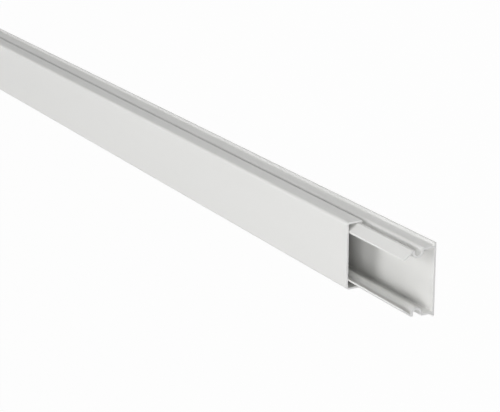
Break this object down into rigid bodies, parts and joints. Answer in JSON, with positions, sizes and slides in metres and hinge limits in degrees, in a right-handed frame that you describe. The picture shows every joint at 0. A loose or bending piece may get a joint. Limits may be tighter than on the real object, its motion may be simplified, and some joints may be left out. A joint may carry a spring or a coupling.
{
  "type": "cable trunking",
  "caption": "Rectangular plastic cable trunking: a flat-backed base with grooved side walls and thin lips, and a clip-in cover drawn back to show the open channel.",
  "frame": {"origin": "centre of the base's flat back face", "axes": "+X along the stick towards its open end, where the cover is drawn back; +Y across the width; +Z out from the wall through the cover's front"},
  "size_m": [2.051, 0.04, 0.021],
  "materials": {
    "base_pvc": "satin extruded rigid pvc, light grey-white",
    "cover_pvc": "satin extruded rigid pvc, light grey-white"
  },
  "bodies": {
    "base": {"trunking_base": "base_pvc"},
    "cover": {"trunking_cover": "cover_pvc"}
  },
  "joints": [
    {"name": "cover_slide", "type": "slide", "parent": "base", "child": "cover", "axis": [1, 0, 0], "range_m": [-1.95, 0.051]}
  ]
}
